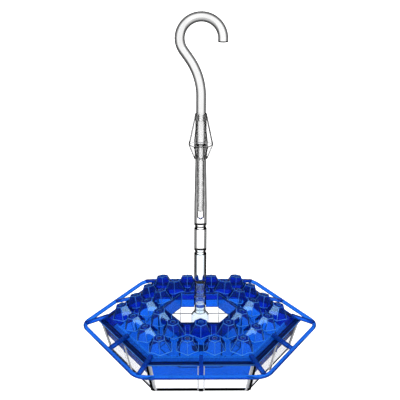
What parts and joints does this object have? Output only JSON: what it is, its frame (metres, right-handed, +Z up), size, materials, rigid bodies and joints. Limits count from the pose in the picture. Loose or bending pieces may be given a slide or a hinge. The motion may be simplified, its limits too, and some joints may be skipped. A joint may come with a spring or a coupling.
{
  "type": "hummingbird feeder",
  "caption": "Hanging hexagonal nectar feeder: clear tray with a centre moat, blue cover of pointed feeding cups, perch ring and a clear hooked stem.",
  "frame": {"origin": "centre of the tray's flat underside, on the stem's axis", "axes": "+Z up along the stem; -Y faces the viewer, square to one side of the hexagon; the crook's open side is towards +X"},
  "size_m": [0.2228, 0.198, 0.3257],
  "materials": {
    "clear_tray": "clear, polished moulding",
    "clear_stem": "clear, polished moulding",
    "clear_hook": "clear, polished moulding",
    "blue_cover": "translucent blue, polished moulding",
    "blue_perch": "translucent blue, polished moulding"
  },
  "bodies": {
    "base": {"tray_bowl": "clear_tray", "moat_wall": "clear_tray", "centre_post": "clear_tray"},
    "lid": {"cover": "blue_cover", "perch_ring": "blue_perch", "perch_arm_corner_1": "blue_perch", "perch_arm_side_1": "blue_perch", "perch_arm_corner_2": "blue_perch", "perch_arm_side_2": "blue_perch", "perch_arm_corner_3": "blue_perch", "perch_arm_side_3": "blue_perch", "perch_arm_corner_4": "blue_perch", "perch_arm_side_4": "blue_perch", "perch_arm_corner_5": "blue_perch", "perch_arm_side_5": "blue_perch", "perch_arm_corner_6": "blue_perch", "perch_arm_side_6": "blue_perch"},
    "stem": {"stem_lower": "clear_stem", "stem_middle": "clear_stem", "stem_upper": "clear_stem", "bell_lower": "clear_stem"},
    "hanger": {"hook": "clear_hook", "bell_upper": "clear_hook"}
  },
  "joints": [
    {"name": "lid_lift", "type": "slide", "parent": "base", "child": "lid", "axis": [0, 0, 1], "range_m": [0, 0.32]},
    {"name": "stem_unscrew", "type": "hinge", "parent": "base", "child": "stem", "pos_m": [0, 0, 0.05], "axis": [0, 0, 1], "range_deg": [0, 1080]},
    {"name": "hook_swivel", "type": "hinge", "parent": "stem", "child": "hanger", "pos_m": [0, 0, 0.2078], "axis": [0, 0, 1], "continuous": true}
  ]
}
